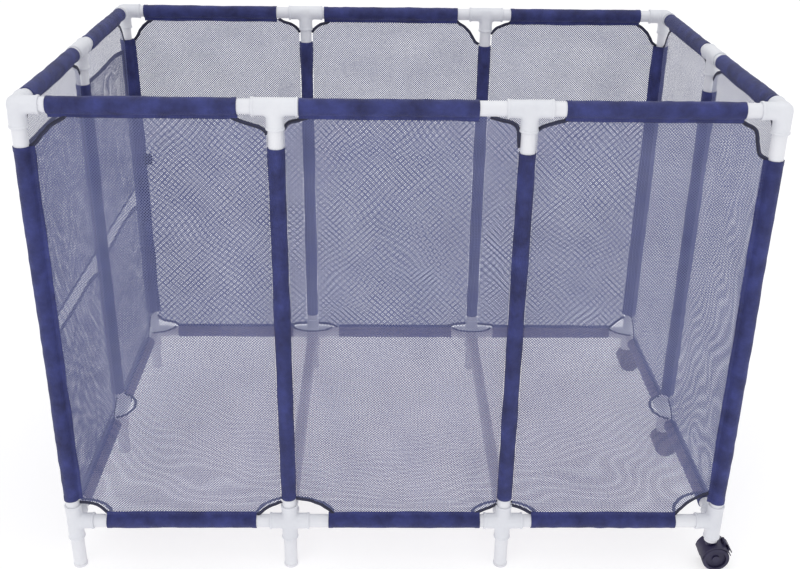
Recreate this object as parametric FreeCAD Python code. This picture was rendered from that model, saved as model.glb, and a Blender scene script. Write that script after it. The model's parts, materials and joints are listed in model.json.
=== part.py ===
import FreeCAD, Part

import math
import os

os.makedirs("parts", exist_ok=True)

# Rolling mesh storage bin on a push-fit PVC pipe frame.
# Millimetres. +X is to the right along the long side, +Y to the back, +Z up.
# The origin is on the floor, under the middle of the frame.

# ---------------------------------------------------------------- driving dimensions
FRAME_LENGTH = 1170.0       # between corner post axes, along X
FRAME_DEPTH = 746.0         # between corner post axes, along Y
TOP_Z = 873.0               # axis of the top rails
BOTTOM_Z = 99.0             # axis of the bottom rails
LONG_BAYS = 3

PIPE_R = 12.0
PIPE_WALL = 2.0
FIT_GAP = 0.1               # between a pipe and its socket

SOCKET_R = 14.2             # outer radius of a fitting's socket
RIM_R = 15.2                # bead round a socket's mouth
RIM_WIDTH = 4.0
HUB_R = 16.4                # rounded knuckle in the middle of a corner fitting
SOCKET_REACH = 36.0         # from a fitting's centre to a socket's mouth
SOCKET_STOP = 14.0          # from a fitting's centre to the end of the pipe

CLOTH = 1.2                 # thickness of sewn cloth and netting
SLEEVE_IN_R = PIPE_R + 0.3
SLEEVE_R = 14.0
FLAP_REACH = 18.0           # from a pipe's axis to the edge of its sleeve's seam flap
SEAM_GAP = 0.2
RAIL_SLEEVE_SETBACK = 48.0  # from a fitting's centre to the end of a rail's sleeve
POST_SLEEVE_TOP = 85.0      # below the top rail's axis
POST_SLEEVE_FOOT = 46.0     # above the bottom rail's axis

BOTTOM_CUT_R = 62.0         # quarter-round cut at a panel's bottom corners
TOP_CUT_R = 30.0            # and at its top corners
FLOOR_CUT_R = 38.0          # round the middle fittings in the floor net
FLOOR_NET_Z = BOTTOM_Z + PIPE_R + 1.0

POCKET_MOUTH = 24.0         # depth of a pocket at its mouth, out from the end net
POCKET_FOOT = 3.5           # depth along its bottom seam
POCKET_SIDE = 20.0          # from a post's axis to the side of a pocket
POCKET_TIERS = {"lower": (121.0, 437.0), "upper": (480.0, TOP_Z - 80.0)}

FOOT_CAP_R = 13.0
FOOT_CAP_HEIGHT = 6.0
FOOT_CAP_PLUG = 16.0

WHEEL_R = 25.0
WHEEL_INNER = 7.0           # inner face of a wheel, from the caster's middle plane
WHEEL_OUTER = 21.0
WHEEL_BORE_R = 3.06
AXLE_R = 3.0
CASTER_TRAIL = 9.0          # from the swivel axis to the axle
HOOD_TOP_Z = 54.0
HOOD_WEB = 6.3              # half thickness of the web between the wheels
FENDER_IN_R = 26.2
FENDER_OUT_R = 28.0
FENDER_HALF = 21.4
STEM_R = 4.0
STEM_BORE_R = 4.05
STEM_TOP_Z = 80.0
CASTER_LEG_Z = 56.0         # lower end of a leg that carries a caster
LEVER_PIVOT_R = 31.6        # from the axle to the brake lever's trunnions
LEVER_PIVOT_ANGLE = 58.0    # degrees above the horizontal, on the trailing side
TRUNNION_R = 1.5
SHOE_R = 26.5               # the brake shoe's face, before the lever is pressed

Y_DIR = FreeCAD.Vector(0, 1, 0)
Z_DIR = FreeCAD.Vector(0, 0, 1)

HALF_LENGTH = FRAME_LENGTH / 2
HALF_DEPTH = FRAME_DEPTH / 2
MID_X = HALF_LENGTH - FRAME_LENGTH / LONG_BAYS


# ---------------------------------------------------------------- helpers
def point(x, y, z):
    return FreeCAD.Vector(x, y, z)


def rod(start, direction, radius, length):
    return Part.makeCylinder(radius, length, start, direction)


def tube(start, end, outer_r, inner_r):
    span = end - start
    shell = rod(start, span, outer_r, span.Length)
    return shell.cut(rod(start, span, inner_r, span.Length))


def fuse_all(shapes):
    return shapes[0].fuse(shapes[1:]).removeSplitter()


def save(node, shapes):
    body = shapes[0] if len(shapes) == 1 else Part.makeCompound(shapes)
    body.exportStep("parts/" + node + ".step")


def prism(outline, direction):
    """Closed solid from a flat outline of points, pushed along direction."""
    wire = Part.makePolygon(outline + [outline[0]])
    return Part.Face(wire).extrude(direction)


# ---------------------------------------------------------------- stations round the frame
# Counter-clockwise from above, starting at the front left corner.
STATIONS = [
    ("front_left", point(-HALF_LENGTH, -HALF_DEPTH, 0)),
    ("front_mid_left", point(-MID_X, -HALF_DEPTH, 0)),
    ("front_mid_right", point(MID_X, -HALF_DEPTH, 0)),
    ("front_right", point(HALF_LENGTH, -HALF_DEPTH, 0)),
    ("mid_right", point(HALF_LENGTH, 0, 0)),
    ("back_right", point(HALF_LENGTH, HALF_DEPTH, 0)),
    ("back_mid_right", point(MID_X, HALF_DEPTH, 0)),
    ("back_mid_left", point(-MID_X, HALF_DEPTH, 0)),
    ("back_left", point(-HALF_LENGTH, HALF_DEPTH, 0)),
    ("mid_left", point(-HALF_LENGTH, 0, 0)),
]
CASTER_STATIONS = ["front_right", "mid_right", "back_right"]


def neighbours(index):
    """Unit directions from a station to the ones before and after it."""
    here = STATIONS[index][1]
    before = STATIONS[index - 1][1] - here
    after = STATIONS[(index + 1) % len(STATIONS)][1] - here
    return [before.normalize(), after.normalize()]


def is_corner(index):
    before, after = neighbours(index)
    return abs(before.dot(after)) < 0.5


def carries_floor_rail(index):
    name, spot = STATIONS[index]
    return not is_corner(index) and abs(spot.y) > 1.0


def bays():
    """Each bay of the frame as the pair of stations at its ends."""
    for index, (name, spot) in enumerate(STATIONS):
        yield spot, STATIONS[(index + 1) % len(STATIONS)][1]


def side_of(start, end):
    """Name of the side that a bay lies on."""
    if abs(start.y - end.y) < 1.0:
        return "front" if start.y < 0 else "back"
    return "left" if start.x < 0 else "right"


# ---------------------------------------------------------------- fittings
def fitting(centre, directions, hub_r):
    """Moulded fitting: a hub with one socket along each direction."""
    outer = [Part.makeSphere(hub_r, centre)]
    for way in directions:
        outer.append(rod(centre, way, SOCKET_R, SOCKET_REACH))
        outer.append(rod(centre + way * (SOCKET_REACH - RIM_WIDTH), way, RIM_R, RIM_WIDTH))
    body = fuse_all(outer)
    for way in directions:
        seat = centre + way * SOCKET_STOP
        body = body.cut(rod(seat, way, PIPE_R + FIT_GAP, SOCKET_REACH))
        body = body.cut(rod(centre, way, PIPE_R - PIPE_WALL, SOCKET_STOP + 1.0))
    return body.removeSplitter()


def make_fittings():
    for index, (name, spot) in enumerate(STATIONS):
        corner = is_corner(index)
        hub_r = HUB_R if corner else SOCKET_R
        top = neighbours(index) + [-Z_DIR]
        kind = "top_corner_" if corner else "top_tee_"
        save(kind + name, [fitting(spot + Z_DIR * TOP_Z, top, hub_r)])

        bottom = neighbours(index) + [Z_DIR, -Z_DIR]
        if carries_floor_rail(index):
            bottom.append(Y_DIR * (-1 if spot.y > 0 else 1))
        kind = "bottom_corner_" if corner else "bottom_cross_"
        save(kind + name, [fitting(spot + Z_DIR * BOTTOM_Z, bottom, hub_r)])


# ---------------------------------------------------------------- pipes
def pipe(start, end):
    return tube(start, end, PIPE_R, PIPE_R - PIPE_WALL)


def pipe_between(centre_a, centre_b):
    """Pipe seated in the sockets of two fittings."""
    way = (centre_b - centre_a).normalize()
    return pipe(centre_a + way * SOCKET_STOP, centre_b - way * SOCKET_STOP)


def make_rails():
    for level, height in (("top", TOP_Z), ("bottom", BOTTOM_Z)):
        groups = {"front_back": [], "ends": []}
        for start, end in bays():
            lift = Z_DIR * height
            group = "front_back" if side_of(start, end) in ("front", "back") else "ends"
            groups[group].append(pipe_between(start + lift, end + lift))
        for group, pipes in groups.items():
            save(level + "_rails_" + group, pipes)


def make_floor_rails():
    rails = []
    for x in (-MID_X, MID_X):
        rails.append(pipe_between(point(x, -HALF_DEPTH, BOTTOM_Z), point(x, HALF_DEPTH, BOTTOM_Z)))
    save("floor_rails", rails)


def make_posts():
    groups = {"corner_posts": [], "middle_posts": []}
    for index, (name, spot) in enumerate(STATIONS):
        post = pipe_between(spot + Z_DIR * BOTTOM_Z, spot + Z_DIR * TOP_Z)
        groups["corner_posts" if is_corner(index) else "middle_posts"].append(post)
    for group, posts in groups.items():
        save(group, posts)


def make_legs():
    legs = []
    caps = []
    for name, spot in STATIONS:
        on_caster = name in CASTER_STATIONS
        foot_z = CASTER_LEG_Z if on_caster else FOOT_CAP_HEIGHT
        legs.append(pipe(spot + Z_DIR * foot_z, spot + Z_DIR * (BOTTOM_Z - SOCKET_STOP)))
        if not on_caster:
            caps.append(foot_cap(spot))
    save("legs", legs)
    save("foot_caps", caps)


def foot_cap(spot):
    pad = rod(spot, Z_DIR, FOOT_CAP_R, FOOT_CAP_HEIGHT)
    pad = pad.makeFillet(1.5, [edge for edge in pad.Edges if edge.Closed])
    plug_r = PIPE_R - PIPE_WALL
    plug = rod(spot + Z_DIR * (FOOT_CAP_HEIGHT - 0.5), Z_DIR, plug_r, FOOT_CAP_PLUG)
    return fuse_all([pad, plug])


# ---------------------------------------------------------------- sewn sleeves
def sleeve(start, end, flap_ways):
    """Cloth tube round a pipe, with a seam flap along each of flap_ways."""
    span = end - start
    along = FreeCAD.Vector(span).normalize()
    cloth = [tube(start, end, SLEEVE_R, SLEEVE_IN_R)]
    for way in flap_ways:
        side = along.cross(way) * (CLOTH / 2)
        root = start + way * (SLEEVE_R - 0.8)
        tip = start + way * FLAP_REACH
        cloth.append(prism([root - side, tip - side, tip + side, root + side], span))
    return fuse_all(cloth)


def make_sleeves():
    groups = {"front": [], "back": [], "left": [], "right": []}
    for start, end in bays():
        along = (end - start).normalize() * RAIL_SLEEVE_SETBACK
        cloth = groups[side_of(start, end)]
        top, low = Z_DIR * TOP_Z, Z_DIR * BOTTOM_Z
        cloth.append(sleeve(start + along + top, end - along + top, [-Z_DIR]))
        cloth.append(sleeve(start + along + low, end - along + low, [Z_DIR]))
    for index, (name, spot) in enumerate(STATIONS):
        foot = spot + Z_DIR * (BOTTOM_Z + POST_SLEEVE_FOOT)
        head = spot + Z_DIR * (TOP_Z - POST_SLEEVE_TOP)
        side = name.replace("mid_", "").split("_")[0]
        groups[side].append(sleeve(foot, head, neighbours(index)))
    for side, cloth in groups.items():
        save("sleeves_" + side, cloth)


# ---------------------------------------------------------------- netting
def panel(start, end):
    """Net panel of one bay, with its four corners cut away round the fittings."""
    along = (end - start).normalize()
    inset = along * (FLAP_REACH + SEAM_GAP)
    low = Z_DIR * (BOTTOM_Z + FLAP_REACH + SEAM_GAP)
    top = Z_DIR * (TOP_Z - FLAP_REACH - SEAM_GAP)
    through = along.cross(Z_DIR) * CLOTH
    shift = through * -0.5
    corners = [start + inset + low, end - inset + low, end - inset + top, start + inset + top]
    net = prism([corner + shift for corner in corners], through)
    for spot in (start, end):
        for height, cut_r in ((BOTTOM_Z, BOTTOM_CUT_R), (TOP_Z, TOP_CUT_R)):
            net = net.cut(rod(spot + Z_DIR * height - through * 5, through, cut_r, CLOTH * 10))
    return net


def floor_net():
    edge = SLEEVE_R + 0.5
    size_x = FRAME_LENGTH - 2 * edge
    size_y = FRAME_DEPTH - 2 * edge
    net = Part.makeBox(size_x, size_y, CLOTH, point(-size_x / 2, -size_y / 2, FLOOR_NET_Z))
    for index, (name, spot) in enumerate(STATIONS):
        cut_r = BOTTOM_CUT_R if is_corner(index) else FLOOR_CUT_R
        net = net.cut(rod(spot + Z_DIR * (FLOOR_NET_Z - 5), Z_DIR, cut_r, 20))
    return net


def make_nets():
    groups = {"front": [], "back": [], "left": [], "right": []}
    for start, end in bays():
        groups[side_of(start, end)].append(panel(start, end))
    for side, panels in groups.items():
        save("net_" + side, panels)
    save("net_floor", [floor_net()])


# ---------------------------------------------------------------- pockets on the left end
def pocket(y_low, y_high, z_low, z_high):
    """Wedge-shaped pocket, sewn flat at its foot and gaping at its mouth."""
    net_x = -HALF_LENGTH - CLOTH / 2

    def wedge(front_inset, y_from, y_to, z_from, z_to, back_x):
        rise = (z_from - z_low) / (z_high - z_low)
        foot_x = net_x - POCKET_FOOT - (POCKET_MOUTH - POCKET_FOOT) * rise + front_inset
        rise = (z_to - z_low) / (z_high - z_low)
        head_x = net_x - POCKET_FOOT - (POCKET_MOUTH - POCKET_FOOT) * rise + front_inset
        outline = [
            point(back_x, y_from, z_from),
            point(foot_x, y_from, z_from),
            point(head_x, y_from, z_to),
            point(back_x, y_from, z_to),
        ]
        return prism(outline, Y_DIR * (y_to - y_from))

    outer = wedge(0, y_low, y_high, z_low, z_high, net_x)
    inner = wedge(CLOTH, y_low + CLOTH, y_high - CLOTH, z_low + CLOTH, z_high + 5, net_x + 1)
    return outer.cut(inner)


def make_pockets():
    spans = ((-HALF_DEPTH + POCKET_SIDE, -POCKET_SIDE), (POCKET_SIDE, HALF_DEPTH - POCKET_SIDE))
    for tier, (z_low, z_high) in POCKET_TIERS.items():
        save("pockets_" + tier, [pocket(y_low, y_high, z_low, z_high) for y_low, y_high in spans])


# ---------------------------------------------------------------- casters
# Each caster trails along +X from its swivel axis, and its axle lies along Y.
def ring_sector(centre, inner_r, outer_r, half_width, from_deg, to_deg):
    """Part of a cylinder's wall round the axle, between two angles above +X."""
    outline = []
    for radius, angles in ((inner_r, (from_deg, to_deg)), (outer_r, (to_deg, from_deg))):
        for angle in angles:
            turn = math.radians(angle)
            spoke = point(math.cos(turn), 0, math.sin(turn))
            outline.append(centre + spoke * radius - Y_DIR * half_width)
    middle = math.radians((from_deg + to_deg) / 2)
    crown = point(math.cos(middle), 0, math.sin(middle))
    edges = [
        Part.Arc(outline[0], centre + crown * inner_r - Y_DIR * half_width, outline[1]).toShape(),
        Part.LineSegment(outline[1], outline[2]).toShape(),
        Part.Arc(outline[2], centre + crown * outer_r - Y_DIR * half_width, outline[3]).toShape(),
        Part.LineSegment(outline[3], outline[0]).toShape(),
    ]
    return Part.Face(Part.Wire(edges)).extrude(Y_DIR * (2 * half_width))


def polar(centre, radius, angle):
    turn = math.radians(angle)
    return centre + point(math.cos(turn) * radius, 0, math.sin(turn) * radius)


def caster_hood(spot, axle):
    neck = rod(spot + Z_DIR * 47.0, Z_DIR, 9.0, HOOD_TOP_Z - 47.0)
    fender = ring_sector(axle, FENDER_IN_R, FENDER_OUT_R, FENDER_HALF, 22.0, 176.0)
    web = ring_sector(axle, 2.0, FENDER_IN_R + 0.5, HOOD_WEB, 66.0, 176.0)
    boss = rod(axle - Y_DIR * HOOD_WEB, Y_DIR, 8.0, 2 * HOOD_WEB)
    ears = []
    pivot = polar(axle, LEVER_PIVOT_R, LEVER_PIVOT_ANGLE)
    for side in (-1, 1):
        ear = rod(pivot + Y_DIR * (side * 7.8 - 1.0), Y_DIR, 3.0, 2.0)
        foot = ring_sector(axle, FENDER_IN_R + 0.5, LEVER_PIVOT_R, 1.0, 53.0, 63.0)
        foot.translate(Y_DIR * (side * 7.8))
        ears += [ear, foot]
    hood = fuse_all([neck, fender, web, boss] + ears)
    clearance = rod(axle + Y_DIR * (WHEEL_INNER - 0.4), Y_DIR, WHEEL_R + 0.7, 16.0)
    hood = hood.cut(clearance)
    clearance.translate(Y_DIR * -(2 * WHEEL_INNER - 0.8 + 16.0))
    hood = hood.cut(clearance)
    hood = hood.cut(ring_sector(axle, FENDER_IN_R - 1, FENDER_OUT_R + 1, 15.0, 29.0, 45.0))
    hood = hood.cut(rod(spot + Z_DIR * 30.0, Z_DIR, STEM_R, 40.0))
    hood = hood.cut(rod(axle - Y_DIR * 30, Y_DIR, AXLE_R, 60.0))
    return hood.cut(rod(pivot - Y_DIR * 12, Y_DIR, TRUNNION_R + 0.06, 24.0)).removeSplitter()


def caster_wheel(axle, side):
    """Wheel with a rounded tread, a dished outer face and a raised hub."""
    width = WHEEL_OUTER - WHEEL_INNER
    disc = rod(axle, Y_DIR, WHEEL_R, width)
    disc = disc.makeFillet(2.6, [edge for edge in disc.Edges if edge.Closed])
    dish = rod(axle + Y_DIR * (width - 4.0), Y_DIR, 18.5, 5.0)
    hub = rod(axle + Y_DIR * (width - 4.5), Y_DIR, 7.0, 3.4)
    wheel = fuse_all([disc.cut(dish), hub]).cut(rod(axle - Y_DIR, Y_DIR, WHEEL_BORE_R, width - 1.4))
    wheel.translate(Y_DIR * WHEEL_INNER)
    if side < 0:
        wheel = wheel.mirror(axle, Y_DIR)
    return wheel


def brake_lever(axle):
    """Pedal on two trunnions, with a shoe that reaches through the fender."""
    pivot = polar(axle, LEVER_PIVOT_R, LEVER_PIVOT_ANGLE)
    barrel = rod(pivot - Y_DIR * 6.5, Y_DIR, 2.7, 13.0)
    trunnions = rod(pivot - Y_DIR * 8.6, Y_DIR, TRUNNION_R, 17.2)
    pedal = ring_sector(axle, 30.4, 32.4, 6.5, 20.0, LEVER_PIVOT_ANGLE)
    wide = ring_sector(axle, 30.4, 32.4, 13.0, 20.0, 44.0)
    shoe = ring_sector(axle, SHOE_R, 31.0, 13.0, 32.0, 42.0)
    return fuse_all([barrel, trunnions, pedal, wide, shoe])


def make_casters():
    sockets = []
    for name, spot in STATIONS:
        if name not in CASTER_STATIONS:
            continue
        axle = spot + point(CASTER_TRAIL, 0, WHEEL_R)
        prefix = "caster_" + name + "_"
        save(prefix + "hood", [caster_hood(spot, axle)])
        save(prefix + "stem", [rod(spot + Z_DIR * 32.0, Z_DIR, STEM_R, STEM_TOP_Z - 32.0)])
        save(prefix + "axle", [rod(axle - Y_DIR * 17.0, Y_DIR, AXLE_R, 34.0)])
        save(prefix + "front_wheel", [caster_wheel(axle, -1)])
        save(prefix + "back_wheel", [caster_wheel(axle, 1)])
        save(prefix + "brake_lever", [brake_lever(axle)])
        flange = rod(spot + Z_DIR * (HOOD_TOP_Z + 0.3), Z_DIR, PIPE_R, CASTER_LEG_Z - HOOD_TOP_Z - 0.3)
        plug = rod(spot + Z_DIR * (CASTER_LEG_Z - 0.5), Z_DIR, PIPE_R - PIPE_WALL, 28.0)
        socket = fuse_all([flange, plug])
        sockets.append(socket.cut(rod(spot + Z_DIR * 40.0, Z_DIR, STEM_BORE_R, 42.0)))
    save("caster_sockets", sockets)


make_fittings()
make_rails()
make_floor_rails()
make_posts()
make_legs()
make_sleeves()
make_nets()
make_pockets()
make_casters()
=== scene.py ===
import json
import math

import bpy
import numpy as np
from mathutils import Matrix, Vector


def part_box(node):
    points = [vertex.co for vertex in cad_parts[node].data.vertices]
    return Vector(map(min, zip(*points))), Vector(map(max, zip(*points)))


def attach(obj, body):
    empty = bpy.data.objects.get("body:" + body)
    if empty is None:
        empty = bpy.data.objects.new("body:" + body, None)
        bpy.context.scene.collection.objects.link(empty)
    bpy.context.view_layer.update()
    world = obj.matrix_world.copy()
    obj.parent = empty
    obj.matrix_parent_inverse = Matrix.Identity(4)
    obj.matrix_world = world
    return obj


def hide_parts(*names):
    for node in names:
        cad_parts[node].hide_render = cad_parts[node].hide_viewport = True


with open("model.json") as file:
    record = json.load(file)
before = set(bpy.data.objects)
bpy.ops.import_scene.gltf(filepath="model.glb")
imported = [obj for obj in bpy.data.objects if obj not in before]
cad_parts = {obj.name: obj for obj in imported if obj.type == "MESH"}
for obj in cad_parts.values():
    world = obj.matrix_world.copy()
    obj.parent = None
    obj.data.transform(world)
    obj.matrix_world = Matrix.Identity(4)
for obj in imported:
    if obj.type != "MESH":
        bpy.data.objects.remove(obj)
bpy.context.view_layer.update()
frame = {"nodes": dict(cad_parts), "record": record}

MM = 0.001

# ---------------------------------------------------------------- sizes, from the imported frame
rails_low, rails_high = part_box("top_rails_front_back")
PIPE_R = (rails_high.z - rails_low.z) / 2
TOP_Z = (rails_high.z + rails_low.z) / 2
BOTTOM_Z = sum(corner.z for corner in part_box("bottom_rails_front_back")) / 2
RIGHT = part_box("corner_posts")[1].x - PIPE_R
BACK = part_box("corner_posts")[1].y - PIPE_R
MID_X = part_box("floor_rails")[1].x - PIPE_R
FLOOR_NET_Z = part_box("net_floor")[1].z
FITTING_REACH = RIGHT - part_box("top_corner_front_right")[0].x
SOCKET_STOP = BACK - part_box("top_rails_ends")[1].y
SOCKET_R = PIPE_R + 2.2 * MM
RIM_R = PIPE_R + 3.2 * MM

# ---------------------------------------------------------------- sizes of the sewn parts
SLEEVE_R = PIPE_R + 1.0 * MM
FLAP_REACH = 20 * MM            # from a pipe's axis to the edge of its sleeve's seam flap
MIDDLE_FLAP_REACH = 13.8 * MM   # the same on the middle posts, whose flaps are slight
FLAP_HALF = 0.11                # angular half width of a flap, in radians
NET_INSET = 13 * MM             # from a pipe's axis to the hidden edge of a net
NET_PITCH = 3.4 * MM            # between neighbouring strands
NET_SLACK = 3.0 * MM            # size of the waves that lift a side net off its flat plane
NET_WANDER = 2.4 * MM           # size of the waves that its strands follow along the flat
NET_OVER = 0.2 * MM             # a knot's height over or under the net's surface, by turns
FLOOR_EDGE = 2.2 * MM           # from the bottom rails' axes to the edge of the floor net
FLOOR_SAG = 7.0 * MM            # greatest depth of the floor net's sag
MOUTH_SHARE = 0.4               # depth of a pocket's mouth, as a share of the CAD pocket's
STRAND = {"front": 1.24 * MM, "back": 1.42 * MM, "left": 1.26 * MM, "right": 1.30 * MM,
          "floor": 0.58 * MM, "pocket": 1.20 * MM}
TAPE_WIDTH = 6.2 * MM
TAPE_THICK = 1.3 * MM
TAPE_STEP = 3.2 * MM            # between the points that a bound edge is built on
POCKET_STEP = 4.8 * MM          # the same on a pocket's edges
STITCH = 3.2 * MM               # length of a stitch
STITCH_STEP = 4.8 * MM          # between stitches on a seam flap
STITCH_HALF = 0.28 * MM         # half width and height of a stitch
HEM = 9 * MM                    # at each end of a sleeve

# Bare pipe between a fitting's centre and the cloth of a rail, at the start and end of each bay.
# Bays run left to right along the front and back, and front to back along the ends.
RAIL_BARE = {
    ("top", "front"): ((46, 57), (37, 78), (55, 60)),
    ("bottom", "front"): ((60, 60), (71, 43), (51, 74)),
    ("top", "back"): ((44, 62), (40, 62), (53, 56)),
    ("bottom", "back"): ((62, 48), (64, 50), (52, 50)),
    ("top", "left"): ((50, 47), (55, 44)),
    ("bottom", "left"): ((58, 52), (50, 60)),
    ("top", "right"): ((42, 52), (50, 46)),
    ("bottom", "right"): ((56, 50), (54, 58)),
}
# Bare pipe below the top rail's axis and above the bottom rail's axis, on each post.
POST_BARE = {
    "front_left": (65, 49),
    "front_mid_left": (65, 52),
    "front_mid_right": (70, 52),
    "front_right": (78, 43),
    "mid_right": (66, 50),
    "back_right": (64, 52),
    "back_mid_right": (67, 48),
    "back_mid_left": (62, 50),
    "back_left": (60, 55),
    "mid_left": (64, 50),
}
# Bound edge of a panel at each of its corners, in millimetres (along the rail, away from the rail)
# from the fitting's centre, running from the rail to the post.
BOTTOM_CORNERS = {
    "front_1": (((66, 13), (60, 18), (47, 34), (29, 40), (13, 41)),
                ((59, 13), (53, 17), (44, 26), (33, 34), (13, 42))),
    "front_2": (((82, 13), (73, 24), (58, 36), (40, 45), (13, 50)),
                ((57, 13), (44, 20), (36, 25), (25, 30), (13, 37))),
    "front_3": (((60, 13), (48, 18), (40, 24), (29, 30), (13, 35)),
                ((75, 13), (68, 24), (58, 37), (44, 50), (30, 58), (13, 63))),
    "back_1": (((68, 13), (54, 24), (30, 29), (20, 32), (13, 44)),
               ((62, 13), (50, 20), (30, 23), (13, 24))),
    "back_2": (((60, 13), (48, 20), (30, 23), (13, 24)),
               ((64, 13), (52, 20), (32, 23), (13, 25))),
    "back_3": (((61, 13), (50, 20), (30, 22), (13, 24)),
               ((50, 13), (40, 22), (32, 32), (22, 39), (13, 44))),
}
TOP_CORNERS = {
    "front_1": (((76, 13), (70, 20), (50, 30), (31, 49), (20, 62), (13, 66)),
                ((70, 13), (60, 21), (45, 26), (28, 30), (16, 37), (13, 44))),
    "front_2": (((56, 13), (45, 19), (25, 23), (16, 28), (13, 36)),
                ((60, 13), (45, 18), (26, 21), (18, 27), (15, 42), (13, 62))),
    "front_3": (((66, 13), (55, 18), (45, 20), (33, 24), (18, 29), (13, 34)),
                ((70, 13), (62, 17), (54, 22), (44, 25), (36, 33), (33, 46), (28, 70), (13, 78))),
}
END_BOTTOM_CORNERS = (((60, 13), (52, 24), (42, 36), (28, 46), (13, 52)),
                      ((58, 13), (50, 22), (38, 32), (24, 38), (13, 42)))
OTHER_TOP_CORNERS = (((64, 13), (58, 19), (44, 27), (32, 40), (22, 58), (13, 64)),
                     ((58, 13), (50, 19), (33, 24), (20, 31), (13, 42)))
# Reach of the floor net's cut-out round each fitting, in millimetres: left, right, and along Y.
FLOOR_CUTS = {
    "front_left": (66, 66, 46),
    "front_mid_left": (60, 80, 52),
    "front_mid_right": (57, 60, 40),
    "front_right": (74, 74, 68),
    "mid_right": (32, 32, 46),
    "back_right": (50, 50, 40),
    "back_mid_right": (46, 46, 26),
    "back_mid_left": (46, 46, 26),
    "back_left": (54, 54, 38),
    "mid_left": (32, 32, 46),
}

STATIONS = {
    "front_left": (-RIGHT, -BACK),
    "front_mid_left": (-MID_X, -BACK),
    "front_mid_right": (MID_X, -BACK),
    "front_right": (RIGHT, -BACK),
    "mid_right": (RIGHT, 0.0),
    "back_right": (RIGHT, BACK),
    "back_mid_right": (MID_X, BACK),
    "back_mid_left": (-MID_X, BACK),
    "back_left": (-RIGHT, BACK),
    "mid_left": (-RIGHT, 0.0),
}
SIDES = {
    "front": ("front_left", "front_mid_left", "front_mid_right", "front_right"),
    "back": ("back_left", "back_mid_left", "back_mid_right", "back_right"),
    "left": ("front_left", "mid_left", "back_left"),
    "right": ("front_right", "mid_right", "back_right"),
}
X_DIR, Y_DIR, Z_DIR = np.eye(3)


def spot(name, height=0.0):
    x, y = STATIONS[name]
    return np.array([x, y, height])


def ways_from(name):
    """Unit directions of the rails that leave a station."""
    ways = []
    for stations in SIDES.values():
        if name not in stations:
            continue
        at = stations.index(name)
        for other in stations[max(at - 1, 0):at] + stations[at + 1:at + 2]:
            way = spot(other) - spot(name)
            ways.append(way / np.linalg.norm(way))
    return ways


def outward(side):
    """Unit normal of a side, away from the inside of the bin."""
    return {"front": -Y_DIR, "back": Y_DIR, "left": -X_DIR, "right": X_DIR}[side]


# ---------------------------------------------------------------- seeded waviness
def waves(seed, count, shortest, longest):
    """Random sine waves between two lengths, as (frequency pairs, phases, weights)."""
    rng = np.random.default_rng(seed)
    lengths = shortest * (longest / shortest) ** rng.random(count)
    turn = rng.random(count) * 2 * math.pi
    pairs = np.stack([np.cos(turn), np.sin(turn)], 1) * (2 * math.pi / lengths)[:, None]
    weights = (lengths / longest) ** 0.6
    return pairs, rng.random(count) * 2 * math.pi, weights / weights.sum()


def wavy(u, v, field):
    """Value of a waviness field at (u, v), mostly between -1 and 1."""
    pairs, phases, weights = field
    total = np.zeros(np.broadcast(u, v).shape)
    for (fu, fv), phase, weight in zip(pairs, phases, weights):
        total = total + 2.2 * weight * np.sin(fu * u + fv * v + phase)
    return total


def smoothstep(x):
    x = np.clip(x, 0, 1)
    return x * x * (3 - 2 * x)


# ---------------------------------------------------------------- meshes
class Shape:
    """Collects points and faces of one piece. Faces are quads or triangles."""

    def __init__(self):
        self.points = []
        self.faces = []
        self.coords = []
        self.count = 0

    def add(self, points, faces, coords=None):
        points = np.asarray(points, float).reshape(-1, 3)
        self.points.append(points)
        self.faces.append(np.asarray(faces, np.int64) + self.count)
        if coords is None:
            coords = np.zeros((len(points), 2))
        self.coords.append(np.asarray(coords, float).reshape(-1, 2))
        self.count += len(points)

    def grid(self, points, close_u=False, close_v=False, coords=None):
        """Quads over an array of points with two index directions."""
        rows, columns = points.shape[:2]
        index = np.arange(rows * columns).reshape(rows, columns)
        if close_u:
            index = np.concatenate([index, index[:1]], 0)
        if close_v:
            index = np.concatenate([index, index[:, :1]], 1)
        quads = np.stack([index[:-1, :-1], index[:-1, 1:], index[1:, 1:], index[1:, :-1]], -1)
        self.add(points, quads.reshape(-1, 4), coords)

    def build(self, name, material, smooth=True):
        points = np.concatenate(self.points)
        sizes = np.concatenate([np.full(len(f), f.shape[1]) for f in self.faces])
        corners = np.concatenate([f.reshape(-1) for f in self.faces])
        mesh = bpy.data.meshes.new(name)
        mesh.vertices.add(len(points))
        mesh.vertices.foreach_set("co", points.astype(np.float32).reshape(-1))
        mesh.loops.add(len(corners))
        mesh.loops.foreach_set("vertex_index", corners.astype(np.int32))
        mesh.polygons.add(len(sizes))
        starts = np.concatenate([[0], np.cumsum(sizes)[:-1]])
        mesh.polygons.foreach_set("loop_start", starts.astype(np.int32))
        mesh.polygons.foreach_set("loop_total", sizes.astype(np.int32))
        mesh.polygons.foreach_set("use_smooth", np.full(len(sizes), smooth))
        mesh.update(calc_edges=True)
        layer = mesh.uv_layers.new(name="cloth")
        where = np.concatenate(self.coords)[corners]
        layer.data.foreach_set("uv", where.astype(np.float32).reshape(-1))
        mesh.materials.append(material)
        piece = bpy.data.objects.new(name, mesh)
        bpy.context.scene.collection.objects.link(piece)
        return piece


def place(piece, slot, *nodes, body="frame"):
    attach(piece, body)
    if nodes:
        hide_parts(*nodes)
    return piece


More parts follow.
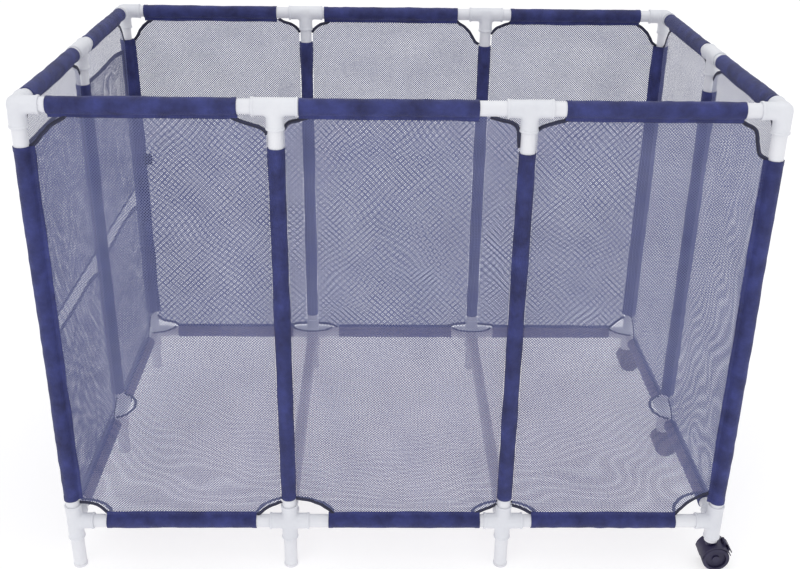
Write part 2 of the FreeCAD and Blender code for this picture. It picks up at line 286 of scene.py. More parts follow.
# ---------------------------------------------------------------- materials
class Nodes:
    """Short calls for building a material's node tree."""

    def __init__(self, name, roughness):
        self.material = bpy.data.materials.new(name)
        self.material.use_nodes = True
        self.tree = self.material.node_tree
        self.shader = self.tree.nodes["Principled BSDF"]
        self.shader.inputs["Roughness"].default_value = roughness

    def new(self, kind, **settings):
        node = self.tree.nodes.new(kind)
        for key, value in settings.items():
            if key in node.inputs:
                node.inputs[key].default_value = value
            else:
                setattr(node, key, value)
        return node

    def link(self, source, target):
        self.tree.links.new(source, target)

    def place_coords(self):
        """Position on the piece in metres, in the object's own frame."""
        return self.new("ShaderNodeTexCoord").outputs["Object"]

    def cloth_coords(self):
        """Position along and round a sewn part, in metres."""
        return self.new("ShaderNodeUVMap", uv_map="cloth").outputs["UV"]

    def noise(self, coords, scale, detail=3.0, rough=0.55):
        node = self.new("ShaderNodeTexNoise", Scale=scale, Detail=detail, Roughness=rough)
        self.link(coords, node.inputs["Vector"])
        return node.outputs["Fac"]

    def ramp(self, value, stops):
        node = self.new("ShaderNodeValToRGB")
        ramp = node.color_ramp
        while len(ramp.elements) < len(stops):
            ramp.elements.new(0.5)
        for element, (at, color) in zip(ramp.elements, stops):
            element.position = at
            element.color = tuple(color) + (1.0,)
        self.link(value, node.inputs["Fac"])
        return node.outputs["Color"]

    def spread(self, value, low, high, from_low=0.3, from_high=0.7):
        node = self.new("ShaderNodeMapRange")
        node.inputs["From Min"].default_value = from_low
        node.inputs["From Max"].default_value = from_high
        node.inputs["To Min"].default_value = low
        node.inputs["To Max"].default_value = high
        self.link(value, node.inputs["Value"])
        return node.outputs["Result"]

    def math(self, operation, first, second):
        node = self.new("ShaderNodeMath", operation=operation)
        for socket, value in zip(node.inputs, (first, second)):
            if isinstance(value, (int, float)):
                socket.default_value = value
            else:
                self.link(value, socket)
        return node.outputs["Value"]

    def bump(self, height, strength, distance):
        node = self.new("ShaderNodeBump", Strength=strength, Distance=distance)
        self.link(height, node.inputs["Height"])
        self.link(node.outputs["Normal"], self.shader.inputs["Normal"])

    def color(self, socket):
        self.link(socket, self.shader.inputs["Base Color"])

    def roughness(self, socket):
        self.link(socket, self.shader.inputs["Roughness"])


def plastic(name, shade, light, grain, rough_low, rough_high):
    """Moulded or extruded plastic: faint clouding, handling scuffs and a fine skin."""
    m = Nodes(name, rough_low)
    where = m.place_coords()
    clouds = m.noise(where, 14.0, 4.0)
    m.color(m.ramp(clouds, [(0.32, shade), (0.66, light)]))
    scuffs = m.noise(where, 60.0, 6.0, 0.7)
    m.roughness(m.spread(scuffs, rough_low, rough_high))
    m.bump(m.noise(where, grain, 2.0), 0.25, 0.4 * MM)
    m.shader.inputs["Specular IOR Level"].default_value = 0.5
    return m.material


def woven(name, dark, light, thread, bump_strength):
    """Plain-woven cloth, mottled lighter and darker at random as painted light and shade of its
    wrinkles, with an over-and-under weave.
    """
    rough = 0.62
    m = Nodes(name, rough)
    where = m.cloth_coords()
    space = m.place_coords()
    # painted light and shade: a random mottle of lighter and darker navy stands for highlights and
    # shade on the cloth's wrinkles
    painted_wrinkle_light = m.noise(space, 28.0, 5.0, 0.62)
    middle = [(a + b) / 2 for a, b in zip(dark, light)]
    m.color(m.ramp(painted_wrinkle_light, [(0.30, dark), (0.52, middle), (0.72, light)]))
    split = m.new("ShaderNodeSeparateXYZ")
    m.link(where, split.inputs["Vector"])
    turn = math.pi / thread
    warp = m.math("SINE", m.math("MULTIPLY", split.outputs["X"], turn), 0.0)
    weft = m.math("SINE", m.math("MULTIPLY", split.outputs["Y"], turn), 0.0)
    weave = m.math("MULTIPLY", warp, weft)
    m.roughness(m.spread(weave, rough - 0.08, rough + 0.10, -1.0, 1.0))
    crease = m.noise(space, 75.0, 4.0, 0.6)
    height = m.math("ADD", m.math("MULTIPLY", weave, 0.22), m.math("MULTIPLY", crease, 1.3))
    m.bump(height, bump_strength, 1.2 * MM)
    m.shader.inputs["Sheen Weight"].default_value = 0.06
    m.shader.inputs["Sheen Roughness"].default_value = 0.4
    return m.material


def yarn(name, dark, light):
    """Coated yarn of the netting, a little uneven in shade from strand to strand."""
    m = Nodes(name, 0.5)
    where = m.place_coords()
    m.color(m.ramp(m.noise(where, 9.0, 5.0, 0.65), [(0.34, dark), (0.66, light)]))
    m.roughness(m.spread(m.noise(where, 240.0, 2.0), 0.42, 0.62))
    return m.material


def metal(name):
    """Zinc-plated steel with fine turning marks."""
    m = Nodes(name, 0.3)
    where = m.place_coords()
    marks = m.noise(where, 90.0, 4.0)
    m.color(m.ramp(marks, [(0.3, (0.46, 0.46, 0.48)), (0.7, (0.66, 0.66, 0.68))]))
    m.roughness(m.spread(m.noise(where, 300.0, 3.0), 0.22, 0.42))
    m.shader.inputs["Metallic"].default_value = 1.0
    return m.material


PIPE_WHITE = plastic("pipe_white", (0.74, 0.745, 0.79), (0.81, 0.815, 0.85), 900.0, 0.28, 0.42)
FITTING_WHITE = plastic("fitting_white", (0.70, 0.71, 0.76), (0.78, 0.79, 0.83), 1200.0, 0.30, 0.48)
FOOT_WHITE = plastic("foot_white", (0.70, 0.70, 0.74), (0.82, 0.82, 0.86), 800.0, 0.40, 0.60)
CASTER_DARK = plastic("caster_dark", (0.010, 0.008, 0.036), (0.026, 0.021, 0.068), 1500.0, 0.34, 0.52)
WHEEL_DARK = plastic("wheel_dark", (0.012, 0.010, 0.040), (0.032, 0.026, 0.076), 700.0, 0.42, 0.70)
CLOTH_NAVY = woven("cloth_navy", (0.008, 0.011, 0.082), (0.040, 0.052, 0.236), 0.9 * MM, 0.9)
TAPE_NAVY = woven("tape_navy", (0.006, 0.006, 0.022), (0.020, 0.022, 0.060), 0.6 * MM, 0.5)
THREAD_NAVY = yarn("thread_navy", (0.05, 0.06, 0.16), (0.10, 0.11, 0.26))
# navy yarn given a lighter, greyer shade: partly its own colour, partly painted sheen of the front
# light on the yarn
NET_NAVY = yarn("net_navy", (0.105, 0.120, 0.265), (0.168, 0.184, 0.340))
# painted light: the floor's netting is the same navy yarn, painted a pale pink-grey to stand for the
# strong light from overhead on it
LIT_FLOOR_NET_PAINTED = yarn("net_floor_pale", (0.480, 0.380, 0.400), (0.570, 0.450, 0.480))
STEEL = metal("zinc_steel")


# ---------------------------------------------------------------- fittings
def fitting_cage(ways, reach):
    """Control cage of a fitting centred on the origin: a knuckle with a socket along each way."""
    swell = 3 / (2 + math.cos(math.pi / 4))     # a subdivided octagon shrinks by this much
    r = SOCKET_R
    ways = [tuple(int(round(c)) for c in way) for way in ways]
    points, faces, known = [], [], {}

    def hub(signs):
        """Index of the knuckle's point that lies towards the three signs."""
        if signs in known:
            return known[signs]
        used = [axis for axis in range(3) if signs[axis]]
        open_axes = [
            axis for axis in used
            if tuple(signs[axis] if a == axis else 0 for a in range(3)) in ways
        ]
        place_at = np.zeros(3)
        for axis in used:
            if len(used) == 1:
                size = 1.12 * r
            elif len(used) == 3:
                size = 0.78 * r
            elif len(open_axes) == 2:
                size = 1.06 * r
            elif len(open_axes) == 1:
                size = 0.82 * r if axis in open_axes else 1.10 * r
            else:
                size = 0.80 * r
            place_at[axis] = signs[axis] * size
        known[signs] = len(points)
        points.append(place_at)
        return known[signs]

    def ring(axis, sign):
        """Signs of the eight hub points round a face, counter-clockwise from outside."""
        first, second = (axis + 1) % 3, (axis + 2) % 3
        steps = [(1, 0), (1, 1), (0, 1), (-1, 1), (-1, 0), (-1, -1), (0, -1), (1, -1)]
        result = []
        for a, b in steps if sign > 0 else steps[::-1]:
            signs = [0, 0, 0]
            signs[axis], signs[first], signs[second] = sign, a, b
            result.append(tuple(signs))
        return result

    bore = PIPE_R + 0.1 * MM
    # A socket from the knuckle out to its rim and back in along its bore, as (distance, radius).
    profile = [
        (1.55 * r, r), (reach - 5.4 * MM, r), (reach - 4.3 * MM, r),
        (reach - 4.0 * MM, RIM_R - 0.2 * MM), (reach - 3.4 * MM, RIM_R),
        (reach - 1.0 * MM, RIM_R), (reach - 0.3 * MM, RIM_R - 0.4 * MM),
        (reach, RIM_R - 1.0 * MM), (reach, bore + 0.6 * MM), (reach - 0.5 * MM, bore),
        (reach - 2.0 * MM, bore), (SOCKET_STOP + 1.0 * MM, bore), (SOCKET_STOP, bore - 0.8 * MM),
    ]
    for axis in range(3):
        for sign in (1, -1):
            around = ring(axis, sign)
            loop = [hub(signs) for signs in around]
            way = tuple(sign if a == axis else 0 for a in range(3))
            if way not in ways:
                middle = hub(way)
                for k in range(1, 8, 2):
                    faces.append((loop[k - 1], loop[k], loop[(k + 1) % 8], middle))
                continue
            first, second = (axis + 1) % 3, (axis + 2) % 3
            for along, radius in profile:
                new = []
                for signs in around:
                    turn = math.atan2(signs[second], signs[first])
                    corner = np.zeros(3)
                    corner[axis] = sign * along
                    corner[first] = math.cos(turn) * radius * swell
                    corner[second] = math.sin(turn) * radius * swell
                    new.append(len(points))
                    points.append(corner)
                for k in range(8):
                    faces.append((loop[k - 1], loop[k], new[k], new[k - 1]))
                loop = new
            middle = len(points)
            points.append(np.array(way, float) * (SOCKET_STOP - 0.2 * MM))
            for k in range(1, 8, 2):
                faces.append((loop[k - 1], loop[k], loop[(k + 1) % 8], middle))
    return np.array(points), faces


def subdivided(piece, levels):
    """Replaces a piece's mesh by its subdivided surface."""
    modifier = piece.modifiers.new("smooth", "SUBSURF")
    modifier.levels = levels
    modifier.render_levels = levels
    graph = bpy.context.evaluated_depsgraph_get()
    mesh = bpy.data.meshes.new_from_object(piece.evaluated_get(graph))
    piece.modifiers.clear()
    piece.data = mesh
    return piece


def make_fittings():
    """Remakes every fitting as one smooth moulding in the space of its CAD part."""
    for name in STATIONS:
        ways = ways_from(name)
        corner = abs(ways[0] @ ways[1]) < 0.5
        for level, height in (("top", TOP_Z), ("bottom", BOTTOM_Z)):
            all_ways = ways + [-Z_DIR]
            if level == "bottom":
                all_ways.append(Z_DIR)
                if not corner and abs(ways[0] @ X_DIR) > 0.5:
                    all_ways.append(Y_DIR * (1 if spot(name)[1] < 0 else -1))
            points, faces = fitting_cage(all_ways, FITTING_REACH)
            shape = Shape()
            shape.add(points + spot(name, height), faces)
            kind = "corner_" if corner else ("tee_" if level == "top" else "cross_")
            node = level + "_" + kind + name
            piece = shape.build("moulded_" + node, FITTING_WHITE)
            place(subdivided(piece, levels=2), "fitting", node)


# ---------------------------------------------------------------- sewn sleeves
def sleeve_section(flap_angles):
    """Angles and radii round a sleeve, closer together at its seam flaps."""
    angles = [np.linspace(0, 2 * math.pi, 26, endpoint=False)]
    for flap in flap_angles:
        one_side = np.array([0.025, 0.055, 0.09, 0.13, 0.19, 0.28])
        near = np.concatenate([-one_side[::-1], [0], one_side])
        angles.append(flap + near)
        angles[0] = angles[0][np.abs((angles[0] - flap + math.pi) % (2 * math.pi) - math.pi) > 0.33]
    angles = np.sort(np.concatenate(angles) % (2 * math.pi))
    lift = np.zeros(len(angles))
    for flap in flap_angles:
        off = (angles - flap + math.pi) % (2 * math.pi) - math.pi
        lift = np.maximum(lift, np.exp(-np.abs(off / FLAP_HALF) ** 1.5))
    return angles, lift


def add_sleeve(cloth, threads, start, end, flap_ways, flap_reach, seed):
    """One sewn tube of cloth from start to end, with its seam flaps and stitching."""
    along = (end - start) / np.linalg.norm(end - start)
    length = float(np.linalg.norm(end - start))
    side = np.array(flap_ways[0])
    up = np.cross(along, side)
    flaps = [math.atan2(way @ up, way @ side) for way in flap_ways]
    angles, lift = sleeve_section(flaps)

    stations = np.concatenate([
        [0, 0.8 * MM, 3 * MM, HEM - 1.5 * MM, HEM],
        np.linspace(HEM + 2 * MM, length - HEM - 2 * MM, max(8, int(length / (4.5 * MM)))),
        [length - HEM, length - HEM + 1.5 * MM, length - 3 * MM, length - 0.8 * MM, length],
    ])
    s, a = np.meshgrid(stations, angles, indexing="ij")
    from_end = np.minimum(s, length - s)
    loose = smoothstep((from_end - 2 * MM) / (40 * MM))
    around = a * SLEEVE_R

    creases = wavy(s, around * 1.6, waves(seed, 16, 14 * MM, 70 * MM))
    drift = wavy(s, around * 0.4, waves(seed + 1, 6, 120 * MM, 420 * MM))
    pucker = np.sin(s * (2 * math.pi / (13 * MM)) + 2.0 * drift)
    near_flap = np.clip(lift * 1.6, 0, 1)
    radius = SLEEVE_R + (0.55 * creases + 0.45 * drift + 0.35) * MM * (0.35 + 0.65 * loose)
    radius = np.maximum(radius, PIPE_R + 0.5 * MM)
    radius += 0.5 * MM * smoothstep((HEM - from_end) / (1.2 * MM))
    reach = flap_reach + (0.6 * wavy(s, 0 * s, waves(seed + 2, 5, 60 * MM, 200 * MM))) * MM
    radius = radius + (reach - radius) * lift[None, :] + 0.25 * MM * pucker * near_flap
    sway = 0.5 * MM * pucker * lift[None, :] ** 2

    def ring_points(r, slip):
        local_x = np.cos(a) * r - np.sin(a) * slip
        local_y = np.sin(a) * r + np.cos(a) * slip
        return start + s[..., None] * along + local_x[..., None] * side + local_y[..., None] * up

    outer = ring_points(radius, sway)
    where = np.stack([s, around], -1)
    inner_r = np.full_like(radius, PIPE_R + 0.25 * MM)
    inner = ring_points(inner_r, 0 * sway)
    both = np.concatenate([outer, inner[::-1][[0, -1]]], 0)
    coords = np.concatenate([where, where[::-1][[0, -1]]], 0)
    cloth.grid(both, close_u=True, close_v=True, coords=coords)

    for flap in flaps:
        add_stitches(threads, start, along, side, up, flap, flap_reach, length)


def add_stitches(threads, start, along, side, up, flap, flap_reach, length):
    """A row of stitches down both faces of a seam flap, a little in from its edge."""
    in_from_edge, off_middle = 3.4 * MM, 1.62 * MM
    out = math.cos(flap) * side + math.sin(flap) * up
    across = np.cross(along, out)
    for face in (-1, 1):
        steps = np.arange(6 * MM, length - 6 * MM, STITCH_STEP)
        base = start + out * (flap_reach - in_from_edge) + across * (face * off_middle)
        add_thread_row(threads, base + steps[:, None] * along, along, out, across * face)


def add_thread_row(threads, starts, along, out, lift):
    """Short raised stitches, one from each start point."""
    half, low, sunk = STITCH_HALF, 0.05 * MM, -0.2 * MM
    profile = [
        (0.0, 0.0, sunk), (0.35, half, low), (0.35, 0, half), (0.35, -half, low),
        (0.65, half, low), (0.65, 0, half), (0.65, -half, low), (1.0, 0.0, sunk),
    ]
    corner = np.array([t * STITCH * along + o * out + h * lift for t, o, h in profile])
    points = starts[:, None, :] + corner[None]
    tris = np.array([(0, 2, 1), (0, 3, 2), (7, 4, 5), (7, 5, 6)])
    quads = np.array([(1, 2, 5, 4), (2, 3, 6, 5)])
    shift = (np.arange(len(starts)) * len(profile))[:, None, None]
    start_at = threads.count
    threads.add(points, (tris[None] + shift).reshape(-1, 3))
    threads.faces.append((quads[None] + shift).reshape(-1, 4) + start_at)


def sleeve_piece(name, side, start, end, flap_ways, flap_reach, seed):
    """Builds one sleeve and its stitching."""
    cloth, threads = Shape(), Shape()
    add_sleeve(cloth, threads, start, end, flap_ways, flap_reach, seed)
    piece = place(cloth.build(name, CLOTH_NAVY), "sleeve_cloth", "sleeves_" + side)
    seam = place(threads.build(name + "_stitching", THREAD_NAVY, smooth=False), "sleeve_cloth")


def make_sleeves():
    seed = 100
    for (level, side), bare in RAIL_BARE.items():
        height = TOP_Z if level == "top" else BOTTOM_Z
        flap = -Z_DIR if level == "top" else Z_DIR
        stations = SIDES[side]
        for bay, (first, last) in enumerate(zip(stations, stations[1:])):
            start, end = spot(first, height), spot(last, height)
            along = (end - start) / np.linalg.norm(end - start)
            name = "sleeve_{}_rail_{}_{}".format(level, side, bay + 1)
            seed += 10
            cloth_start = start + along * bare[bay][0] * MM
            cloth_end = end - along * bare[bay][1] * MM
            sleeve_piece(name, side, cloth_start, cloth_end, [flap], FLAP_REACH, seed)
    for name, (top, low) in POST_BARE.items():
        side = name.replace("mid_", "").split("_")[0]
        seed += 10
        reach = MIDDLE_FLAP_REACH if name.count("_") == 2 else FLAP_REACH
        sleeve_piece("sleeve_post_" + name, side, spot(name, BOTTOM_Z + low * MM),
                     spot(name, TOP_Z - top * MM), ways_from(name), reach, seed)


# ---------------------------------------------------------------- netting
def lattice(width, height, strand, inside, lift, to_space, seed):
    """Diamond netting over a flat area, as points, faces and flat places of the points.

    inside(u, v) keeps knots and lift(u, v) moves them off the flat. The strands wander a little along
    the flat, as knitting that was stretched by hand does."""
    half = NET_PITCH / math.sqrt(2)
    columns, rows = int(width / half) + 1, int(height / half) + 1
    i, j = np.meshgrid(np.arange(columns), np.arange(rows), indexing="ij")
    keep = (i + j) % 2 == 0
    u = i * half + (width - (columns - 1) * half) / 2
    v = j * half + (height - (rows - 1) * half) / 2
    keep &= inside(u, v)
    number = np.full(keep.shape, -1)
    number[keep] = np.arange(keep.sum())
    u, v, i = u[keep], v[keep], i[keep]
    edge = np.minimum(np.minimum(u, width - u), np.minimum(v, height - v)) - NET_INSET
    pull = NET_WANDER * smoothstep(edge / (60 * MM))
    along, across = (waves(seed + k, 9, 80 * MM, 300 * MM) for k in (1, 2))
    u, v = u + pull * wavy(u, v, along), v + pull * wavy(u, v, across)

    corner = strand / math.sqrt(2)
    over = NET_OVER * np.where(i % 2 == 0, 1.0, -1.0)
    offsets = np.array([(corner, 0), (0, corner), (-corner, 0), (0, -corner)])
    at_u = u[:, None] + offsets[:, 0]
    at_v = v[:, None] + offsets[:, 1]
    points = to_space(at_u, at_v, lift(at_u, at_v) + over[:, None])

    east, north, west, south = range(4)
    base = number[keep] * 4
    faces = [np.stack([base + k for k in range(4)], -1)]
    rising, falling = (1, (east, north), (west, south)), (-1, (south, east), (north, west))
    for step, near, far in (rising, falling):
        a = number[:-1, max(0, -step):number.shape[1] - max(0, step)]
        b = number[1:, max(0, step):number.shape[1] - max(0, -step)]
        both = (a >= 0) & (b >= 0)
        a, b = a[both] * 4, b[both] * 4
        faces.append(np.stack([a + near[0], b + far[1], b + far[0], a + near[1]], -1))
    return points.reshape(-1, 3), np.concatenate(faces), np.stack([at_u, at_v], -1).reshape(-1, 2)


def net_piece(name, node, net, with_pieces):
    """Builds one piece of netting from its points, faces and flat places."""
    shape = Shape()
    shape.add(*net)
    # the floor pieces get the netting painted with the light from overhead
    material = LIT_FLOOR_NET_PAINTED if node == "net_floor" else NET_NAVY
    piece = place(shape.build(name, material), "netting", node)
    return piece


def sewn_pieces(name, tape, threads, *nodes):
    """A binding and its stitches, built from the shapes that hold them."""
    binding = place(tape.build("binding_" + name, TAPE_NAVY), "sleeve_cloth", *nodes)
    seam = place(threads.build("binding_stitching_" + name, THREAD_NAVY, smooth=False), "sleeve_cloth")
    return [binding, seam]


class Bay:
    """One bay of a side: its flat coordinates, its cut corners and its slack."""

    def __init__(self, side, first, last, seed, corners):
        self.start = spot(first, BOTTOM_Z)
        across = spot(last, BOTTOM_Z) - self.start
        self.width = float(np.linalg.norm(across))
        self.across = across / self.width
        self.height = TOP_Z - BOTTOM_Z
        self.normal = outward(side)
        self.corners = corners
        self.field = waves(seed, 12, 90 * MM, 600 * MM)
        self.pull = waves(seed + 3, 10, 45 * MM, 160 * MM)

    def to_space(self, u, v, w):
        return (self.start + u[..., None] * self.across + v[..., None] * Z_DIR
                + w[..., None] * self.normal)

    def lift(self, u, v):
        """How far the slack net stands off its flat plane."""
        edge = np.minimum(np.minimum(u, self.width - u), np.minimum(v, self.height - v)) - NET_INSET
        free = smoothstep(edge / (70 * MM))
        taut = np.exp(-np.clip(edge, 0, 1) / (22 * MM))
        small = 0.7 * MM * wavy(u, v, self.pull) * taut * smoothstep(edge / (6 * MM))
        return NET_SLACK * wavy(u, v, self.field) * free + small

    def corner_curve(self, end, level):
        """Bound edge of the net at one corner, as flat points from the rail to the post."""
        x, y = np.array(self.corners[level][end], float).T * MM
        return (x if end == 0 else self.width - x), (y if level == "bottom" else self.height - y)

    def inside(self, u, v):
        """Whether the net reaches a flat place, within its hidden edges and its cut corners."""
        keep = (u > NET_INSET) & (u < self.width - NET_INSET)
        keep &= (v > NET_INSET) & (v < self.height - NET_INSET)
        for level, away in (("bottom", v), ("top", self.height - v)):
            for end, along in ((0, u), (1, self.width - u)):
                x, y = np.array(self.corners[level][end], float).T[:, ::-1] * MM
                keep &= (along > x[-1]) | (away > np.interp(along, x, y))
        return keep


def add_tape(shape, points, normals, width, seed):
    """Binding tape folded over an edge: points run along its middle, normals face out of the net."""
    points = np.asarray(points, float)
    tangents = np.gradient(points, axis=0)
    tangents /= np.linalg.norm(tangents, axis=1)[:, None]
    across = np.cross(tangents, normals)
    across /= np.linalg.norm(across, axis=1)[:, None]
    lengths = np.concatenate([[0], np.cumsum(np.linalg.norm(np.diff(points, axis=0), axis=1))])
    ripple = 0.35 * MM * wavy(lengths, 0 * lengths, waves(seed + 7, 6, 9 * MM, 30 * MM))
    section = [(-0.5, 0.25), (-0.42, 0.5), (0.0, 0.56), (0.42, 0.5), (0.5, 0.25),
               (0.5, -0.25), (0.42, -0.5), (0.0, -0.56), (-0.42, -0.5), (-0.5, -0.25)]
    rings = []
    coords = []
    for out, high in section:
        rings.append(points + across * (out * width + ripple[:, None]) + normals * (high * TAPE_THICK))
        coords.append(np.stack([lengths, np.full(len(lengths), out * width)], -1))
    rings = np.stack(rings, 1)
    shape.grid(rings, close_v=True, coords=np.stack(coords, 1))
    count = len(section)
    for row in (0, len(points) - 1):
        cap = rings[row]
        fan = [(0, k, k + 1) for k in range(1, count - 1)]
        shape.add(cap, fan if row == 0 else [f[::-1] for f in fan])


def curve_through(us, vs):
    """Evenly spaced points along a flat polyline, rounded at its turns."""
    lengths = np.concatenate([[0], np.cumsum(np.hypot(np.diff(us), np.diff(vs)))])
    at = np.linspace(0, lengths[-1], max(8, int(lengths[-1] / TAPE_STEP)))
    curve = np.stack([np.interp(at, lengths, us), np.interp(at, lengths, vs)])
    for _ in range(3):
        curve[:, 1:-1] = (curve[:, :-2] + 2 * curve[:, 1:-1] + curve[:, 2:]) / 4
    return curve


def sew_tape(tape, threads, points, normals, seed, width=TAPE_WIDTH):
    """Binding tape along points, with a row of stitches on both of its faces."""
    off_middle = 0.72 * MM
    add_tape(tape, points, normals, width, seed)
    for face in (-1, 1):
        for point, after, normal in zip(points[:-1], points[1:], normals[:-1]):
            way = (after - point) / np.linalg.norm(after - point)
            across = np.cross(way, normal)
            base = point[None] + normal * (face * off_middle) - across * 0.2 * width
            add_thread_row(threads, base, way, across, normal * face)


def make_side_nets():
    seed = 500
    for side, stations in SIDES.items():
        for number, (first, last) in enumerate(zip(stations, stations[1:]), 1):
            name = "{}_{}".format(side, number)
            seed += 20
            corners = {
                "bottom": BOTTOM_CORNERS.get(name, END_BOTTOM_CORNERS[::1 if number == 1 else -1]),
                "top": TOP_CORNERS.get(name, OTHER_TOP_CORNERS[::1 if number == 1 else -1]),
            }
            bay = Bay(side, first, last, seed, corners)
            tape, threads = Shape(), Shape()
            for level in ("bottom", "top"):
                for end in (0, 1):
                    us, vs = curve_through(*bay.corner_curve(end, level))
                    points = bay.to_space(us, vs, bay.lift(us, vs))
                    normals = np.tile(bay.normal, (len(points), 1))
                    sew_tape(tape, threads, points, normals, seed + end)
            net = lattice(bay.width, bay.height, STRAND[side], bay.inside, bay.lift, bay.to_space,
                          seed + 7)
            net_piece("netting_" + name, "net_" + side, net,
                      sewn_pieces(name, tape, threads))


# ---------------------------------------------------------------- floor netting
def floor_lift(x, y):
    """Height of the floor net over its flat plane: it sags between the pipes that carry it."""
    edge_y = smoothstep((BACK - np.abs(y)) / (130 * MM))
    third = (x + RIGHT) / (2 * RIGHT) * 3
    bay = np.abs(np.sin(math.pi * third))
    edge_x = smoothstep((RIGHT - np.abs(x)) / (60 * MM))
    low = FLOOR_SAG * edge_y * bay * edge_x
    ripple = wavy(x, y, waves(900, 12, 70 * MM, 420 * MM)) * 1.4 * MM * edge_y * edge_x
    return ripple * bay - low


def cut_reach(name, side):
    """Reach along X and along Y of the floor's cut-out at a station. side is below 0 to its left."""
    left, right, along_y = np.array(FLOOR_CUTS[name]) * MM
    return np.where(side < 0, left, right), along_y


def on_floor(x, y):
    return (np.abs(x) < RIGHT - FLOOR_EDGE) & (np.abs(y) < BACK - FLOOR_EDGE)


def cut_line(name):
    """Points along the edge of a station's cut-out, as far as it lies on the floor."""
    cx, cy = STATIONS[name]
    turn = np.linspace(-math.pi, math.pi, 161)
    a, b = cut_reach(name, np.cos(turn))
    x, y = cx + a * np.cos(turn), cy + b * np.sin(turn)
    shown = on_floor(x, y)
    first = np.argmax(shown & ~np.roll(shown, 1))
    x, y = np.roll(x[:-1], -first), np.roll(y[:-1], -first)
    shown = on_floor(x, y)
    x, y = x[shown], y[shown]
    return np.stack([x, y, FLOOR_NET_Z + floor_lift(x, y)], -1)


def make_floor():
    """Floor netting in three pieces cut from one lattice, each with its own bindings."""
    def inside(u, v):
        x, y = u - RIGHT, v - BACK
        keep = on_floor(x, y)
        for name, (cx, cy) in STATIONS.items():
            a, b = cut_reach(name, x - cx)
            keep &= np.hypot((x - cx) / a, (y - cy) / b) > 1
        return keep

    def lift(u, v):
        return floor_lift(u - RIGHT, v - BACK)

    def to_space(u, v, w):
        return np.stack([u - RIGHT, v - BACK, FLOOR_NET_Z + w], -1)

    points, faces, flat = lattice(2 * RIGHT, 2 * BACK, STRAND["floor"], inside, lift, to_space, 930)
    middles = points[faces].mean(1)[:, 0]
    for number, low, high in ((1, -RIGHT, -MID_X), (2, -MID_X, MID_X), (3, MID_X, RIGHT)):
        tape, threads = Shape(), Shape()
        for seed, name in enumerate(STATIONS, 950):
            if floor_strip(name) == number:
                at = cut_line(name)
                sew_tape(tape, threads, at, np.tile(Z_DIR, (len(at), 1)), seed)
        part = faces[(middles >= low) & (middles < high)]
        used, again = np.unique(part, return_inverse=True)
        net = (points[used], again.reshape(-1, 4), flat[used])
        net_piece("netting_floor_{}".format(number), "net_floor", net,
                  sewn_pieces("floor_{}".format(number), tape, threads))


def floor_strip(name):
    """Which third of the floor carries the binding at a station."""
    x = spot(name)[0]
    return 1 if x < -MID_X - MM else (3 if x > MID_X + MM else 2)


# ---------------------------------------------------------------- pockets on the left end
def pocket_depth(u, v, width, height, mouth):
    """How far a pocket's front stands off the end panel."""
    across = 1 - np.abs(2 * u / width - 1) ** 9
    return 2.2 * MM + across * (1.0 * MM + mouth * np.clip(v / height, 0, 1) ** 1.3)


def make_pocket(name, node, corner, width, height, mouth, seed):
    """One netting pocket with its bound edges. corner is its low front corner, on the end panel."""
    inner, start_y, foot = corner
    slack = waves(seed, 10, 40 * MM, 300 * MM)

    def lift(u, v):
        free = smoothstep(np.minimum(u, width - u) / (40 * MM)) * smoothstep(v / (60 * MM))
        ripple = 1.3 * MM * wavy(u, v, slack) * free * (0.4 + 0.6 * v / height)
        return pocket_depth(u, v, width, height, mouth) + ripple

    def to_space(u, v, w):
        return np.stack([inner - w, start_y + u, foot + v], -1)

    def inside(u, v):
        return (u > 0) & (u < width) & (v > 0) & (v < height)

    def surface(u, v):
        return to_space(u, v, lift(u, v))

    tape, threads = Shape(), Shape()
    us = np.linspace(0, width, int(width / POCKET_STEP))
    vs = np.linspace(0, height, int(height / POCKET_STEP))
    edges = (
        (us, np.full(len(us), height - 4 * MM), 9 * MM),
        (us, np.full(len(us), 3 * MM), 6 * MM),
        (np.full(len(vs), 2.5 * MM), vs, 5 * MM),
        (np.full(len(vs), width - 2.5 * MM), vs, 5 * MM),
    )
    step = 2 * MM
    for k, (u, v, broad) in enumerate(edges):
        along_u = surface(u + step, v) - surface(u - step, v)
        along_v = surface(u, v + step) - surface(u, v - step)
        normals = np.cross(along_v, along_u)
        normals /= np.linalg.norm(normals, axis=1)[:, None]
        sew_tape(tape, threads, surface(u, v), normals, seed + k, width=broad)
    net = lattice(width, height, STRAND["pocket"], inside, lift, to_space, seed + 5)
    net_piece("netting_" + name, node, net,
              sewn_pieces(name, tape, threads))


def make_pockets():
    seed = 1200
    for tier in ("lower", "upper"):
        node = "pockets_" + tier
        low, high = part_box(node)
        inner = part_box("net_left")[0].x
        mouth = MOUTH_SHARE * (inner - low.x)
        near = min(abs(v.co.y) for v in frame["nodes"][node].data.vertices)
        for number, start_y in ((1, low.y), (2, near)):
            seed += 10
            make_pocket("pocket_{}_{}".format(tier, number), node, (inner, start_y, low.z),
                        high.y - near, high.z - low.z, mouth, seed)


def make_tab():
    """Small cloth tab sewn to the back left post's flap."""
    tape, threads = Shape(), Shape()
    length, width, height = 16 * MM, 26 * MM, 540 * MM
    x = -RIGHT + FLAP_REACH - 3 * MM + np.linspace(0, length, 9)
    points = np.stack([x, np.full(9, BACK - 1.5 * MM), np.full(9, height)], -1)
    sew_tape(tape, threads, points, np.tile(-Y_DIR, (9, 1)), 1400, width=width)
    tab, seam = sewn_pieces("tab", tape, threads)


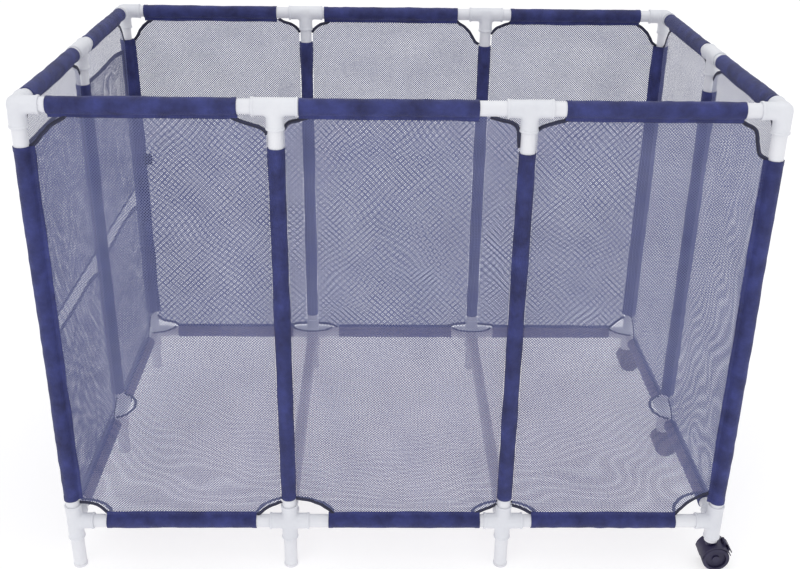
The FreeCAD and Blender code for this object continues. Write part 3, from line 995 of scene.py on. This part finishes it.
# ---------------------------------------------------------------- camera, light and floor
def make_camera():
    """Camera 1.3 m above the floor, close in front of the bin and looking down into it."""
    right = Vector((0.999756, -0.017264, 0.013771))
    down = Vector((0.005167, -0.423416, -0.905921))
    forward = Vector((0.021471, 0.905771, -0.423223))
    camera_data = bpy.data.cameras.new("camera")
    camera_data.sensor_width = 36.0
    camera_data.lens = 47.64
    camera = bpy.data.objects.new("camera", camera_data)
    camera.matrix_world = Matrix.Translation((-0.0374, -1.9462, 1.3112)) @ Matrix(
        (right, -down, -forward)).transposed().to_4x4()
    bpy.context.scene.collection.objects.link(camera)
    bpy.context.scene.camera = camera


def area_light(name, place_at, target, size, power, tint):
    data = bpy.data.lights.new(name, "AREA")
    data.shape = "SQUARE"
    data.size = size
    data.energy = power
    data.color = tint
    light = bpy.data.objects.new(name, data)
    light.location = place_at
    light.rotation_euler = (Vector(target) - Vector(place_at)).to_track_quat("-Z", "Y").to_euler()
    bpy.context.scene.collection.objects.link(light)


def make_stage():
    """Pale floor, pale surroundings and two soft lights."""
    bpy.ops.mesh.primitive_plane_add(size=30, location=(0, 0, 0))
    floor = bpy.context.active_object
    floor.name = "floor"
    m = Nodes("floor_pale", 0.85)
    clouds = m.noise(m.place_coords(), 0.8, 3.0)
    m.color(m.ramp(clouds, [(0.3, (0.48, 0.48, 0.49)), (0.7, (0.51, 0.51, 0.52))]))
    m.shader.inputs["Emission Color"].default_value = (1.0, 0.995, 0.99, 1.0)
    m.shader.inputs["Emission Strength"].default_value = 0.62
    m.shader.inputs["Specular IOR Level"].default_value = 0.1
    floor.data.materials.append(m.material)
    world = bpy.data.worlds.new("world")
    world.use_nodes = True
    background = world.node_tree.nodes["Background"]
    background.inputs["Color"].default_value = (0.985, 0.99, 1.0, 1.0)
    background.inputs["Strength"].default_value = 0.80
    bpy.context.scene.world = world
    area_light("overhead", (0.4, -0.3, 4.4), (0, 0, 0.3), 4.0, 34, (1.0, 1.0, 1.0))
    area_light("front_fill", (-1.9, -3.4, 2.6), (0, 0, 0.4), 2.6, 20, (1.0, 0.99, 0.98))
    bpy.context.scene.view_settings.view_transform = "Standard"


# ---------------------------------------------------------------- CAD parts that stay
CAD_FINISHES = {
    "pipe": PIPE_WHITE,
    "fitting": FITTING_WHITE,
    "foot_cap": FOOT_WHITE,
    "caster_plastic": CASTER_DARK,
    "caster_wheel": WHEEL_DARK,
    "steel": STEEL,
    "sleeve_cloth": CLOTH_NAVY,
    "netting": NET_NAVY,
}


def finish_cad_parts():
    """Gives every CAD part the finish of its material slot."""
    slots = {row["node"]: row["material_slot"] for row in frame["record"]["subparts"]}
    for name, node in frame["nodes"].items():
        for slot in node.material_slots:
            slot.material = CAD_FINISHES[slots[name]]


make_camera()
make_stage()
finish_cad_parts()
make_fittings()
make_sleeves()
make_side_nets()
make_floor()
make_pockets()
make_tab()
